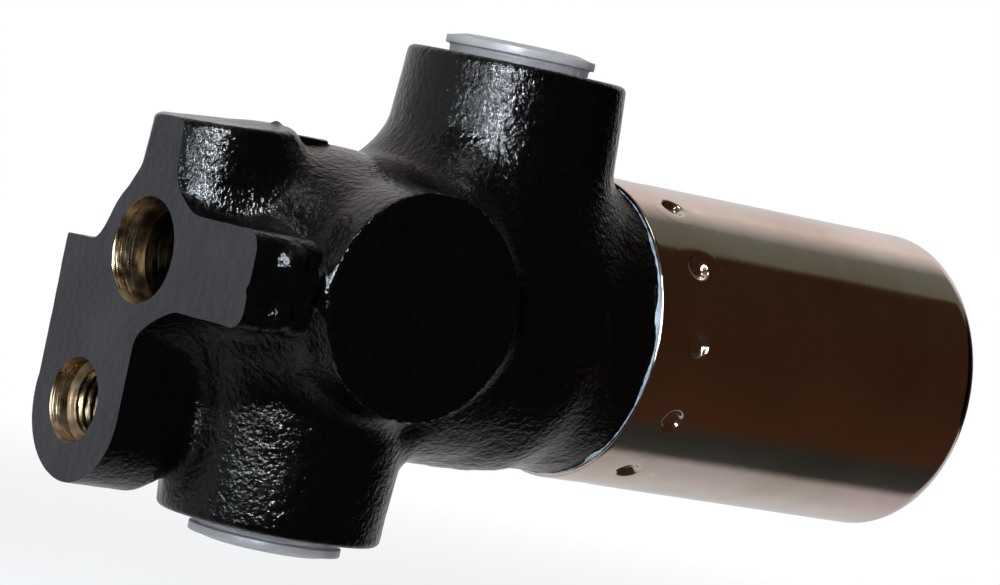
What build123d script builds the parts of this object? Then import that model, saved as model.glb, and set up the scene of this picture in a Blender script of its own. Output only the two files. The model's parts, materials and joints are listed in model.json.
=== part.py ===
from build123d import *
from math import pi, sin, tan
import os

# A spring-loaded pressure reducing valve for compressed-air brakes. Lengths are in
# millimetres and angles in degrees. The main axis is X, from the mounting face at
# X = 0 to the closed end of the spring can. +Z points to the outlet port and -Y to
# the blind boss.

# Cast body
barrel_wall = 7.0
barrel_flare = 6.0
barrel_run_up = 3.0
spine_margin = 2.8
spine_setback = 1.0
neck_radius = 10.3
band_step = 0.7
band_length = 4.0
band_flare = 4.0
inlet_setback = 15.1
outlet_height = 13.5
inlet_height = 13.0
blind_height = 3.0
boss_radius = 17.7
boss_draft = 3.5
boss_edge = 1.0
blind_step = 0.1
blind_draft = 2.0
stub_x = 10.0
stub_radius = 10.7
stub_height = 1.0
stub_draft = 3.0
stub_tilt = 4.0
root_fillet = 3.0
stub_fillet = 1.0

# Mounting flange
flange_thickness = 13.0
ear_y = 9.8
ear_z = -25.4
ear_radius = 12.3
ear_shoulder_y = 21.8
ear_shoulder_z = -0.3
arm_reach = 30.6
arm_top = 7.0
arm_bottom = -7.8
arm_end_radius = 3.0
corner_fillet = 5.0

# Holes in the mounting face: M16 x 1.5 to the vent and M12 x 1.5 in the ear
vent_mouth_radius = 8.04
vent_mouth_depth = 5.2
vent_thread_radius = 7.19
vent_floor = 4.0
vent_passage_radius = 6.4
ear_hole_y = 10.6
ear_hole_z = -25.0
ear_mouth_radius = 6.44
ear_mouth_depth = 3.0
ear_thread_radius = 5.19
ear_hole_run_out = 7.0

# Ports, M22 x 1.5 behind a wider mouth that takes a transport plug
port_mouth_radius = 11.3
port_mouth_depth = 6.0
port_thread_radius = 10.19
port_thread_length = 14.0
passage_radius = 4.0
outlet_passage_offset = -4.8
inlet_passage_offset = 4.8

# Stepped bore on the main axis: each step's width and its length towards +X
poppet_bore_radius = 11.0
poppet_bore_setback = 10.8
seat_shoulder = 4.5
seat_setback = 13.2
outlet_overlap = 1.0
stem_guide_shoulder = 3.5
stem_guide_overlap = 2.4
shoulder_setback = 4.0
spigot_wall = 4.75
spigot_length = 22.0
spigot_lead = 1.5

# Spring can and the dimples that stake it to the spigot
can_fit = 0.05
can_wall = 1.2
can_lip_gap = 0.3
can_length = 71.4
can_corner = 4.6
dimple_count = 12
dimple_setback = 8.5
dimple_ball = 2.6
dimple_depth = 1.0
dimple_turn = -3.4
stake_groove_width = 6.6
stake_groove_depth = 1.25
sealant_width = 1.3
sealant_height = 0.45

# Fits and seals
running_clearance = 0.06
seat_clearance = 0.03
contact_gap = 0.05
ring_gap_angle = 40.0
ring_shoulder = 1.1

# Valve seat, poppet and its guide
seat_hole_margin = 1.6
seat_lip_width = 1.0
seat_lip_height = 1.25
seat_thickness = 4.4
seat_ring_width = 1.3
poppet_lift = 2.0
poppet_tube_radius = 4.5
poppet_bore = 2.2
poppet_head_gap = 2.0
poppet_head_thickness = 2.6
poppet_tail_gap = 0.8
seal_disc_rim = 0.8
seal_disc_thickness = 2.2
seal_disc_depth = 0.8
guide_flange_length = 4.0
guide_length = 8.2
guide_neck_lip = 0.1
poppet_ring_wire = 1.7
poppet_wire = 1.2
poppet_spring_gap = 2.4
poppet_spring_turns = 4.0

# Control piston, its stem guide and its rings
stem_radius = 6.0
stem_tip_radius = 4.2
stem_tip_length = 9.0
stem_guide_thickness = 3.0
stem_guide_hub_radius = 9.5
stem_guide_hub_length = 8.0
stem_guide_ring_width = 1.6
flow_hole_radius = 2.2
flow_hole_count = 6
piston_gap = 0.6
piston_length = 10.4
piston_ring_wire = 2.7
piston_ring_setback = 1.8
band_width = 3.0
band_thickness = 1.5
groove_side_gap = 0.15

# Main spring with its plates and shims
spring_wire = 4.5
spring_inset = 3.5
spring_turns = 7.5
plate_thickness = 1.5
plate_cup_height = 4.0
plate_cup_inset = 2.7
piston_plate_gap = 0.4
can_plate_gap = 3.3
shim_thickness = 0.8
shim_inset = 0.5
shim_hole_radius = 8.0
shim_count = 2

# Transport plugs
plug_rim_radius = 12.1
plug_rim_gap = 1.4
plug_rim_thickness = 1.3
plug_dome_radius = 9.6
plug_dome_rise = 0.6
plug_skirt_length = 5.0
plug_skirt_taper = 0.25
plug_wall = 1.0
plug_tab_width = 2.4
plug_tab_reach = 0.7

# How far cuts run past the faces they open, and how near a corner or an edge counts as on it
overshoot = 1.0
corner_margin = 1.0
surface_slack = 0.02

# Radii worked out from the sizes above
outlet_bore_radius = poppet_bore_radius + seat_shoulder
piston_bore_radius = outlet_bore_radius + stem_guide_shoulder
spigot_radius = piston_bore_radius + spigot_wall
barrel_radius = piston_bore_radius + barrel_wall
spine_radius = boss_radius + spine_margin
blind_radius = boss_radius - blind_step
can_inner_radius = spigot_radius + can_fit
can_radius = can_inner_radius + can_wall
band_radius = can_radius - band_step
poppet_head_radius = poppet_bore_radius - poppet_head_gap
seal_disc_radius = poppet_head_radius - seal_disc_rim
seat_hole_radius = seal_disc_radius - seat_hole_margin
poppet_spring_radius = poppet_tube_radius + poppet_spring_gap
guide_neck_radius = poppet_spring_radius + poppet_wire / 2 + guide_neck_lip
flow_hole_circle = (stem_guide_hub_radius + piston_bore_radius) / 2
spring_mean_radius = piston_bore_radius - spring_inset
plate_cup_radius = spring_mean_radius - plate_cup_inset
piston_plate_radius = piston_bore_radius - piston_plate_gap
can_plate_radius = can_inner_radius - can_plate_gap
shim_radius = can_plate_radius - shim_inset

# Places worked out from the sizes above
outlet_face = barrel_radius + outlet_height
inlet_face = barrel_radius + inlet_height
blind_face = barrel_radius + blind_height
stub_top = spine_radius + stub_height
inlet_x = boss_radius + inlet_setback
poppet_bore_start = inlet_x - poppet_bore_setback
outlet_bore_start = inlet_x + seat_setback
outlet_x = outlet_bore_start + boss_radius - outlet_overlap
piston_bore_start = outlet_x + boss_radius - stem_guide_overlap
shoulder_x = piston_bore_start + shoulder_setback
barrel_start = outlet_bore_start - barrel_run_up
spine_start = poppet_bore_start - spine_setback
vent_thread_end = poppet_bore_start - vent_floor
seat_lip_x = outlet_bore_start - seat_lip_height
seal_face_x = seat_lip_x - contact_gap - poppet_lift
stem_tip_x = seal_face_x + contact_gap
seat_back_x = outlet_bore_start + seat_thickness
stem_guide_back_x = piston_bore_start + stem_guide_thickness
piston_front_x = stem_guide_back_x + stem_guide_ring_width + piston_gap
piston_back_x = piston_front_x + piston_length
main_spring_start = piston_back_x + plate_thickness
can_lip_x = shoulder_x + can_lip_gap
can_end_x = can_lip_x + can_length
band_start = shoulder_x - band_length
barrel_end = band_start - band_flare
spigot_end = shoulder_x + spigot_length
can_floor_x = can_end_x - can_wall
shim_stack = shim_count * shim_thickness
main_spring_end = can_floor_x - shim_stack - plate_thickness
dimple_x = can_lip_x + dimple_setback
guide_end_x = poppet_bore_start + guide_length
poppet_head_x = seal_face_x - seal_disc_thickness + seal_disc_depth - poppet_head_thickness
outlet_thread_end = outlet_face - port_mouth_depth - port_thread_length
inlet_thread_end = inlet_face - port_mouth_depth - port_thread_length
body_length = spigot_end


def turned(*corners):
    """A solid turned about the main axis, from corners given as (x, radius)."""
    return revolve(make_face(Polyline(*corners, close=True)), Axis.X)


def turned_upright(*corners):
    """A solid turned about Z, from corners given as (radius, z)."""
    profile = Plane.XZ * Polyline(*corners, close=True)
    return revolve(make_face(profile), Axis.Z)


def along_x(radius, start, end):
    """A round bar on the main axis."""
    return turned((start, 0), (end, 0), (end, radius), (start, radius))


def ring_around_x(x, mean_radius, wire):
    """An O-ring about the main axis, centred at x."""
    section = Plane.XY * Pos(x, mean_radius) * Circle(wire / 2)
    return revolve(section, Axis.X)


def drafted_boss(radius, height, draft):
    """An upright boss from Z = 0, widening towards its root, with a rounded rim."""
    root_radius = radius + height * tan(draft * pi / 180)
    boss = turned_upright((0, 0), (root_radius, 0), (radius, height), (0, height))
    rim = boss.edges().filter_by(GeomType.CIRCLE).sort_by(Axis.Z)[-1]
    return fillet(rim, boss_edge)


def flange_outline():
    """The mounting face's outline in (y, z): core, ear with its shoulder, and arm."""
    core = Circle(neck_radius)
    ear = Pos(ear_y, ear_z) * Circle(ear_radius)
    ear_height = ear_shoulder_z - ear_z
    ear_left = ear_y - ear_radius
    shank = Pos((ear_left + ear_shoulder_y) / 2, ear_z + ear_height / 2) * Rectangle(
        ear_shoulder_y - ear_left, ear_height
    )
    arm_height = arm_top - arm_bottom
    arm = Pos(-arm_reach / 2, (arm_top + arm_bottom) / 2) * Rectangle(arm_reach, arm_height)
    outline = core + ear + shank + arm
    inner_corners = [
        corner
        for corner in outline.vertices()
        if -arm_reach + corner_margin < corner.X < ear_shoulder_y - corner_margin and corner.Y > ear_z
    ]
    return fillet(inner_corners, corner_fillet)


def flange():
    """The flange behind the mounting face, with its corners rounded."""
    outline = Plane.YZ * flange_outline()
    plate = extrude(outline, flange_thickness)
    arm_end = plate.edges().filter_by(Axis.X).group_by(Axis.Y)[0]
    return fillet(arm_end, arm_end_radius)


def stub_boss():
    """The upright boss behind the top of the mounting face, with a slightly tilted top."""
    full_height = stub_top + stub_radius
    draft_tangent = tan(stub_draft * pi / 180)
    foot_radius = stub_radius + stub_top * draft_tangent
    head_radius = foot_radius - full_height * draft_tangent
    stub = turned_upright((0, 0), (foot_radius, 0), (head_radius, full_height), (0, full_height))
    above = Pos(0, 0, 2 * full_height) * Box(full_height * 4, full_height * 4, full_height * 4)
    return Pos(stub_x, 0, 0) * (stub - Pos(0, 0, stub_top) * Rot(0, -stub_tilt, 0) * above)


def flare(start, start_radius, end, end_radius):
    """A smooth S-shaped rise along X from one radius to another."""
    middle = (start + end) / 2
    return Bezier((start, start_radius), (middle, start_radius), (middle, end_radius), (end, end_radius))


def core_casting():
    """The round core: neck, spine and barrel with smooth flares, and the turned spigot."""
    barrel_full = barrel_start + barrel_flare
    outline = [
        Line((0, 0), (0, neck_radius)),
        flare(0, neck_radius, spine_start, spine_radius),
        Line((spine_start, spine_radius), (barrel_start - barrel_flare, spine_radius)),
        flare(barrel_start - barrel_flare, spine_radius, barrel_full, barrel_radius),
        Line((barrel_full, barrel_radius), (barrel_end, barrel_radius)),
        flare(barrel_end, barrel_radius, band_start, band_radius),
        Polyline(
            (band_start, band_radius),
            (shoulder_x, band_radius),
            (shoulder_x, spigot_radius),
            (spigot_end - spigot_lead, spigot_radius),
            (spigot_end, spigot_radius - spigot_lead),
            (spigot_end, 0),
            (0, 0),
        ),
    ]
    edges = [edge for stretch in outline for edge in stretch.edges()]
    return revolve(make_face(edges), Axis.X)


def joined_by_fillet(casting, boss, radius):
    """A casting with a boss added, and a fillet all along the root of the boss."""
    joined = casting + boss
    earlier = casting.edges() + boss.edges()
    root = [
        edge
        for edge in joined.edges()
        if all(old.distance_to(edge @ 0.5) > surface_slack for old in earlier)
    ]
    return fillet(root, radius)


def body_casting():
    """The cast outside of the body, before machining."""
    outlet_boss = Pos(outlet_x, 0, 0) * drafted_boss(boss_radius, outlet_face, boss_draft)
    inlet_boss = drafted_boss(boss_radius, inlet_face, boss_draft)
    inlet_boss = Pos(inlet_x, 0, 0) * Rot(180, 0, 0) * inlet_boss
    blind_boss = drafted_boss(blind_radius, blind_face, blind_draft)
    blind_boss = Pos(inlet_x, 0, 0) * Rot(90, 0, 0) * blind_boss
    casting = joined_by_fillet(core_casting(), outlet_boss, root_fillet)
    casting = joined_by_fillet(casting, blind_boss, root_fillet)
    casting = joined_by_fillet(casting, inlet_boss, root_fillet)
    casting = joined_by_fillet(casting, stub_boss(), stub_fillet)
    casting += flange()
    front = Pos(body_length / 2, 0, 0) * Box(body_length, 4 * barrel_radius, 4 * barrel_radius)
    return casting & front


def port_cut(face, thread_end, passage_offset):
    """The hole of a port, upright, with its passage drilled beside the middle of the floor."""
    mouth_end = face - port_mouth_depth
    hole = turned_upright(
        (0, thread_end),
        (port_thread_radius, thread_end),
        (port_thread_radius, mouth_end),
        (port_mouth_radius, mouth_end),
        (port_mouth_radius, face + overshoot),
        (0, face + overshoot),
    )
    passage = Cylinder(passage_radius, thread_end + overshoot, align=(Align.CENTER, Align.CENTER, Align.MIN))
    return hole + Pos(passage_offset, 0, 0) * passage


def stepped_bore():
    """Vent, poppet bore, outlet bore and piston bore, with the snap ring grooves."""
    seat_groove = outlet_bore_radius + ring_shoulder
    guide_groove = piston_bore_radius + ring_shoulder
    seat_groove_end = seat_back_x + seat_ring_width
    guide_groove_end = stem_guide_back_x + stem_guide_ring_width
    return turned(
        (-overshoot, 0),
        (-overshoot, vent_mouth_radius),
        (vent_mouth_depth, vent_mouth_radius),
        (vent_mouth_depth, vent_thread_radius),
        (vent_thread_end, vent_thread_radius),
        (vent_thread_end, vent_passage_radius),
        (poppet_bore_start, vent_passage_radius),
        (poppet_bore_start, poppet_bore_radius),
        (outlet_bore_start, poppet_bore_radius),
        (outlet_bore_start, outlet_bore_radius),
        (seat_back_x, outlet_bore_radius),
        (seat_back_x, seat_groove),
        (seat_groove_end, seat_groove),
        (seat_groove_end, outlet_bore_radius),
        (piston_bore_start, outlet_bore_radius),
        (piston_bore_start, piston_bore_radius),
        (stem_guide_back_x, piston_bore_radius),
        (stem_guide_back_x, guide_groove),
        (guide_groove_end, guide_groove),
        (guide_groove_end, piston_bore_radius),
        (spigot_end + overshoot, piston_bore_radius),
        (spigot_end + overshoot, 0),
    )


def ear_hole():
    """The threaded hole through the ear, with its plain mouth."""
    through = flange_thickness + ear_hole_run_out
    hole = turned(
        (-overshoot, 0),
        (-overshoot, ear_mouth_radius),
        (ear_mouth_depth, ear_mouth_radius),
        (ear_mouth_depth, ear_thread_radius),
        (through, ear_thread_radius),
        (through, 0),
    )
    return Pos(0, ear_hole_y, ear_hole_z) * hole


def stake_groove():
    """The groove in the spigot that the can's dimples are pressed into."""
    start = dimple_x - stake_groove_width / 2
    end = dimple_x + stake_groove_width / 2
    floor = spigot_radius - stake_groove_depth
    top = spigot_radius + overshoot
    return turned((start, floor), (end, floor), (end, top), (start, top))


def lip_relief():
    """What the tool that turns the band takes off the outlet boss beside the can."""
    start = can_lip_x - sealant_width
    end = shoulder_x + overshoot
    clear = outlet_face
    return turned((start, band_radius), (end, band_radius), (end, clear), (start, clear))


def valve_body():
    """The cast body with all its machined faces and holes."""
    outlet_cut = port_cut(outlet_face, outlet_thread_end, outlet_passage_offset)
    inlet_cut = port_cut(inlet_face, inlet_thread_end, inlet_passage_offset)
    body = body_casting() - lip_relief() - stepped_bore() - stake_groove() - ear_hole()
    body -= Pos(outlet_x, 0, 0) * outlet_cut
    body -= Pos(inlet_x, 0, 0) * Rot(180, 0, 0) * inlet_cut
    return body


def spring_can():
    """The deep-drawn can, with a ring of dimples pressed into its wall."""
    outer = along_x(can_radius, can_lip_x, can_end_x)
    outer = fillet(outer.edges().sort_by(Axis.X)[-1], can_corner)
    inner = along_x(can_inner_radius, can_lip_x - overshoot, can_floor_x)
    inner = fillet(inner.edges().sort_by(Axis.X)[-1], can_corner - can_wall)
    can = outer - inner
    step = 360 / dimple_count
    outside_radius = can_radius + dimple_ball - dimple_depth
    for number in range(dimple_count):
        turn = Rot(dimple_turn + step * number, 0, 0)
        place = turn * Pos(dimple_x, outside_radius, 0)
        bump = place * Sphere(dimple_ball + can_wall)
        can += bump & outer
        can -= place * Sphere(dimple_ball)
    return can


def joint_sealant():
    """The bead of sealing compound between the can's lip and the body's shoulder."""
    start = can_lip_x - sealant_width
    foot = band_radius + seat_clearance
    top = band_radius + sealant_height
    return turned(
        (start, foot),
        (can_lip_x, foot),
        (can_lip_x, top),
        (start + sealant_width / 3, top),
    )


def snap_ring(x, width, bore_radius):
    """A snap ring that sits in a groove of a bore, open over a small angle."""
    outer = bore_radius + ring_shoulder - seat_clearance
    inner = bore_radius - ring_shoulder
    ring = turned((x, inner), (x + width, inner), (x + width, outer), (x, outer))
    opening = 2 * outer * sin(ring_gap_angle / 2 * pi / 180)
    slot = Pos(x + width / 2, 0, -outer) * Box(2 * width, opening, 2 * outer)
    return ring - slot


def poppet_guide():
    """The bush that guides the poppet's tube, with a groove for its seal."""
    start = poppet_bore_start
    flange_end = start + guide_flange_length
    outer = poppet_bore_radius - seat_clearance
    bore = poppet_tube_radius + running_clearance
    groove = bore + poppet_ring_wire
    middle = start + guide_flange_length / 2
    half = poppet_ring_wire / 2 + groove_side_gap
    return turned(
        (start, bore),
        (middle - half, bore),
        (middle - half, groove),
        (middle + half, groove),
        (middle + half, bore),
        (guide_end_x, bore),
        (guide_end_x, guide_neck_radius),
        (flange_end, guide_neck_radius),
        (flange_end, outer),
        (start, outer),
    )


def poppet_o_ring():
    """The seal around the poppet's tube."""
    middle = poppet_bore_start + guide_flange_length / 2
    mean_radius = poppet_tube_radius + running_clearance + poppet_ring_wire / 2
    return ring_around_x(middle, mean_radius, poppet_ring_wire)


def valve_poppet():
    """The hollow poppet: a guided tube and a head with a recess for the rubber disc."""
    head_back = poppet_head_x
    head_front = head_back + poppet_head_thickness
    recess = head_front - seal_disc_depth
    return turned(
        (poppet_bore_start + poppet_tail_gap, poppet_bore),
        (recess, poppet_bore),
        (recess, seal_disc_radius),
        (head_front, seal_disc_radius),
        (head_front, poppet_head_radius),
        (head_back, poppet_head_radius),
        (head_back, poppet_tube_radius),
        (poppet_bore_start + poppet_tail_gap, poppet_tube_radius),
    )


def poppet_seal_disc():
    """The rubber disc that closes on the seat's lip and under the piston's stem."""
    back = seal_face_x - seal_disc_thickness
    return turned(
        (back, poppet_bore),
        (seal_face_x, poppet_bore),
        (seal_face_x, seal_disc_radius),
        (back, seal_disc_radius),
    )


def coil_spring(start, end, mean_radius, wire, turns):
    """A compression spring along X with its ends ground flat."""
    length = end - start
    path = Helix(pitch=length / turns, height=length, radius=mean_radius)
    section = Plane(origin=path @ 0, z_dir=path % 0) * Circle(wire / 2)
    coil = Pos(start, 0, 0) * Rot(0, 90, 0) * sweep(section, path=path)
    keep_radius = mean_radius + wire
    return coil & along_x(keep_radius, start, end)


def valve_seat_ring():
    """The seat between the inlet and the outlet chambers, with a raised lip."""
    outer = outlet_bore_radius - seat_clearance
    lip_radius = seat_hole_radius + seat_lip_width
    groove = outer - poppet_ring_wire
    middle = outlet_bore_start + seat_thickness / 2
    half = poppet_ring_wire / 2 + groove_side_gap
    return turned(
        (seat_lip_x, seat_hole_radius),
        (seat_back_x, seat_hole_radius),
        (seat_back_x, outer),
        (middle + half, outer),
        (middle + half, groove),
        (middle - half, groove),
        (middle - half, outer),
        (outlet_bore_start, outer),
        (outlet_bore_start, lip_radius + seat_lip_height),
        (seat_lip_x, lip_radius),
    )


def seat_o_ring():
    """The seal around the seat ring."""
    middle = outlet_bore_start + seat_thickness / 2
    mean_radius = outlet_bore_radius - seat_clearance - poppet_ring_wire / 2
    return ring_around_x(middle, mean_radius, poppet_ring_wire)


def stem_guide():
    """The ported plate and hub that guide the piston's stem."""
    bore = stem_radius + running_clearance
    outer = piston_bore_radius - seat_clearance
    hub_start = stem_guide_back_x - stem_guide_hub_length
    guide = turned(
        (hub_start, bore),
        (stem_guide_back_x, bore),
        (stem_guide_back_x, outer),
        (piston_bore_start, outer),
        (piston_bore_start, stem_guide_hub_radius),
        (hub_start, stem_guide_hub_radius),
    )
    drill = along_x(flow_hole_radius, hub_start, stem_guide_back_x + overshoot)
    step = 360 / flow_hole_count
    for number in range(flow_hole_count):
        guide -= Rot(step * number, 0, 0) * Pos(0, 0, flow_hole_circle) * drill
    return guide


def control_piston():
    """The piston with its stem, whose tip closes the poppet's bore."""
    outer = piston_bore_radius - running_clearance
    tip_end = stem_tip_x + stem_tip_length
    ring_floor = outer - piston_ring_wire - seat_clearance
    ring_start = piston_front_x + piston_ring_setback
    ring_end = ring_start + piston_ring_wire + 2 * groove_side_gap
    band_floor = outer - band_thickness
    band_end = piston_back_x - piston_ring_setback
    band_start_x = band_end - band_width - 2 * groove_side_gap
    return turned(
        (stem_tip_x, 0),
        (stem_tip_x, stem_tip_radius),
        (tip_end, stem_tip_radius),
        (tip_end + stem_radius - stem_tip_radius, stem_radius),
        (piston_front_x, stem_radius),
        (piston_front_x, outer),
        (ring_start, outer),
        (ring_start, ring_floor),
        (ring_end, ring_floor),
        (ring_end, outer),
        (band_start_x, outer),
        (band_start_x, band_floor),
        (band_end, band_floor),
        (band_end, outer),
        (piston_back_x, outer),
        (piston_back_x, 0),
    )


def piston_o_ring():
    """The piston's seal, in its groove."""
    middle = piston_front_x + piston_ring_setback + groove_side_gap + piston_ring_wire / 2
    mean_radius = piston_bore_radius - running_clearance - piston_ring_wire / 2
    return ring_around_x(middle, mean_radius, piston_ring_wire)


def piston_guide_ring():
    """The plastic guide band behind the piston's seal."""
    outer = piston_bore_radius - running_clearance
    inner = outer - band_thickness + seat_clearance
    end = piston_back_x - piston_ring_setback - groove_side_gap
    start = end - band_width
    return turned((start, inner), (end, inner), (end, outer), (start, outer))


def cupped_plate(seat_x, towards, radius):
    """A pressed plate that seats a spring: a rim, and a cup that centres the coils."""
    back = seat_x - towards * plate_thickness
    cup_end = seat_x + towards * plate_cup_height
    cup_inner = plate_cup_radius - plate_thickness
    floor = cup_end - towards * plate_thickness
    return turned(
        (back, cup_inner),
        (floor, cup_inner),
        (floor, 0),
        (cup_end, 0),
        (cup_end, plate_cup_radius),
        (seat_x, plate_cup_radius),
        (seat_x, radius),
        (back, radius),
    )


def adjusting_shims():
    """Flat shims between the can's closed end and the spring's seat."""
    shims = []
    for number in range(shim_count):
        end = can_floor_x - number * shim_thickness
        start = end - shim_thickness
        shims.append(
            turned(
                (start, shim_hole_radius),
                (end, shim_hole_radius),
                (end, shim_radius),
                (start, shim_radius),
            )
        )
    return Compound(children=shims)


def transport_plug():
    """A moulded push-in plug, upright, with the port's face at Z = 0."""
    skirt_top = port_mouth_radius - running_clearance
    skirt_foot = skirt_top - plug_skirt_taper
    rim_top = plug_rim_gap + plug_rim_thickness
    dome_floor = rim_top - plug_wall
    plug = turned_upright(
        (0, dome_floor),
        (skirt_top - plug_wall, dome_floor),
        (skirt_foot - plug_wall, -plug_skirt_length),
        (skirt_foot, -plug_skirt_length),
        (skirt_top, 0),
        (plug_rim_radius, plug_rim_gap),
        (plug_rim_radius, rim_top),
        (plug_dome_radius, rim_top),
        (plug_dome_radius - plug_dome_rise, rim_top + plug_dome_rise),
        (0, rim_top + plug_dome_rise),
    )
    tab = Pos(-plug_rim_radius, 0, rim_top - plug_rim_thickness / 2) * Box(
        2 * plug_tab_reach, plug_tab_width, plug_rim_thickness
    )
    return plug + tab


def top_port_plug():
    """The plug in the outlet port."""
    return Pos(outlet_x, 0, outlet_face) * transport_plug()


def bottom_port_plug():
    """The plug in the inlet port."""
    return Pos(inlet_x, 0, -inlet_face) * Rot(180, 0, 0) * transport_plug()


def main_spring():
    """The spring that sets the outlet pressure."""
    return coil_spring(
        main_spring_start, main_spring_end, spring_mean_radius, spring_wire, spring_turns
    )


def poppet_spring():
    """The light spring that closes the poppet."""
    return coil_spring(
        guide_end_x, poppet_head_x, poppet_spring_radius, poppet_wire, poppet_spring_turns
    )


pieces = {
    "valve_body": valve_body(),
    "spring_can": spring_can(),
    "joint_sealant": joint_sealant(),
    "top_port_plug": top_port_plug(),
    "bottom_port_plug": bottom_port_plug(),
    "main_spring": main_spring(),
    "piston_spring_plate": cupped_plate(main_spring_start, 1, piston_plate_radius),
    "can_spring_seat": cupped_plate(main_spring_end, -1, can_plate_radius),
    "adjusting_shims": adjusting_shims(),
    "control_piston": control_piston(),
    "piston_o_ring": piston_o_ring(),
    "piston_guide_ring": piston_guide_ring(),
    "stem_guide": stem_guide(),
    "stem_guide_retaining_ring": snap_ring(
        stem_guide_back_x, stem_guide_ring_width, piston_bore_radius
    ),
    "valve_seat_ring": valve_seat_ring(),
    "seat_o_ring": seat_o_ring(),
    "seat_retaining_ring": snap_ring(seat_back_x, seat_ring_width, outlet_bore_radius),
    "valve_poppet": valve_poppet(),
    "poppet_seal_disc": poppet_seal_disc(),
    "poppet_spring": poppet_spring(),
    "poppet_guide": poppet_guide(),
    "poppet_o_ring": poppet_o_ring(),
}

os.makedirs("parts", exist_ok=True)
for name, shape in pieces.items():
    export_step(shape, f"parts/{name}.step")
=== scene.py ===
import json
from itertools import product
from math import cos, pi, radians, sin, tan

import bpy
import numpy as np
from mathutils import Matrix, Vector, noise


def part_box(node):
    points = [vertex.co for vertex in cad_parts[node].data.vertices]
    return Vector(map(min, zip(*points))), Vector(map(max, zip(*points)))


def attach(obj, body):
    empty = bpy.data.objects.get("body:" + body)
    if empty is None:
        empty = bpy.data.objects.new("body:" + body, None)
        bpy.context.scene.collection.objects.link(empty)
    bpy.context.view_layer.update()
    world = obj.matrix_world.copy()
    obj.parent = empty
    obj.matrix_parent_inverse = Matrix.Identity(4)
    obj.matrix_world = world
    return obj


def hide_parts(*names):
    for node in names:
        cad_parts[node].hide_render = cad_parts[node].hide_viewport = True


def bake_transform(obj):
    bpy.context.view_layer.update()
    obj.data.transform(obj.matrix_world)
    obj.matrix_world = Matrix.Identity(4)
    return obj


# A pressure reducing valve for air brakes: cast and painted body, plated spring can,
# sealing compound and two transport plugs. Lengths here are in millimetres, and every
# mesh is turned into metres when it is made. The main axis is X.
MM = 0.001

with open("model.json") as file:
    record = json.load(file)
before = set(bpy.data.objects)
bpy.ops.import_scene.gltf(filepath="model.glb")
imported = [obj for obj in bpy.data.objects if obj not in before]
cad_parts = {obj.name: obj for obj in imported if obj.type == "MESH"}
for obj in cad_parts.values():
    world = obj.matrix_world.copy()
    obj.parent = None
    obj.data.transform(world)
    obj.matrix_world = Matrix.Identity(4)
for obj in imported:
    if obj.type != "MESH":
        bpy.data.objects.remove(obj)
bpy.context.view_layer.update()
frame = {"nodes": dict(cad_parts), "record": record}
mounts = {mount["name"]: mount for mount in frame["record"]["mounts"]}


def mount_size(name):
    """A round mount's place, radius and length in millimetres."""
    mount = mounts[name]
    place = [value / MM for value in mount["pos_m"]]
    return place, mount["dims"]["r_mm"], mount["dims"]["length_mm"]


def node_box(node):
    """A node's lowest and highest corners in millimetres."""
    low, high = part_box(node)
    return np.array(low) / MM, np.array(high) / MM


# Sizes from the frame
_, vent_mouth_radius, vent_mouth_depth = mount_size("locating_counterbore")
_, vent_thread_radius, vent_thread_length = mount_size("vent_port")
ear_place, ear_mouth_radius, ear_mouth_depth = mount_size("ear_counterbore")
_, ear_thread_radius, _ = mount_size("ear_fixing_hole")
outlet_place, port_thread_radius, port_thread_length = mount_size("top_port")
inlet_place, _, _ = mount_size("bottom_port")
can_low, can_high = node_box("spring_can")
can_lip, can_end, can_radius = can_low[0], can_high[0], can_high[2]
body_low, body_high = node_box("valve_body")
body_end = body_high[0]
arm_reach = -body_low[1]
barrel_radius = body_high[1]
outlet_x, outlet_face = outlet_place[0], body_high[2]
inlet_x, inlet_face = inlet_place[0], -body_low[2]
ear_hole_y, ear_hole_z = ear_place[1], ear_place[2]

# Cast outside
casting_grid = 0.5
casting_margin = 1.5
machining_stock = 1.0
settled_stock = 0.6
settle_rounds = 3
barrel_start = 43.0
barrel_flare = 6.0
spine_radius = 20.5
spine_start = 21.0
neck_radius = 10.3
band_radius = can_radius - 0.7
band_start = 78.0
band_flare = 14.0
shoulder_x = 82.0
boss_radius = 17.7
boss_draft = 3.5
boss_edge = 1.0
blind_radius = 17.6
blind_face = 29.0
blind_draft = 2.0
blind_edge = 0.4
stub_x = 10.0
stub_radius = 10.7
stub_top = 21.5
stub_draft = 3.0
stub_tilt = 4.0
stub_edge = 1.0
root_fillet = 3.2
outlet_fillet = 6.5
outlet_fillet_reach = 5.0
blind_fillet = 5.0
head_fillet = 4.0
flange_thickness = 13.0
flange_edge = 2.5
ear_y = 9.8
ear_z = -25.4
ear_radius = 12.3
ear_shoulder_y = 21.8
ear_shoulder_z = -0.3
ear_shoulder_edge = 0.4
arm_top = 7.0
arm_bottom = -7.8
arm_end_radius = 3.0
corner_fillet = 5.0
stub_fillet = 1.5
arm_middle = 7.0
arm_curve = 0.8
parting_z = -1.8
parting_width = 0.7
parting_depth = 0.6
pad_fillet = 0.8

# Worn pads on the arm's end: x, z, radius and rise
arm_pads = ((6.4, 3.0, 2.8, 1.5), (6.2, -4.8, 2.2, 0.9))

# Marks of the casting mould: a strip on the spine and a lump beside the stub
strip_start = 21.5
strip_end = 28.5
strip_width = 3.4
strip_rise = 1.2
lump_place = (19.3, 0.0, 22.2)
lump_radius = 0.9
mark_fillet = 0.5

# Sand-cast skin: wave lengths and heights of its bumps, calmer at the machined faces
skin_waves = ((9.0, 0.12), (3.2, 0.05), (1.5, 0.03))
calm_reach = 1.5
calm_share = 0.15
skin_fade = 4.0
underside_z = -18.0
underside_fade = 5.0
underside_roughness = 2.5

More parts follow.
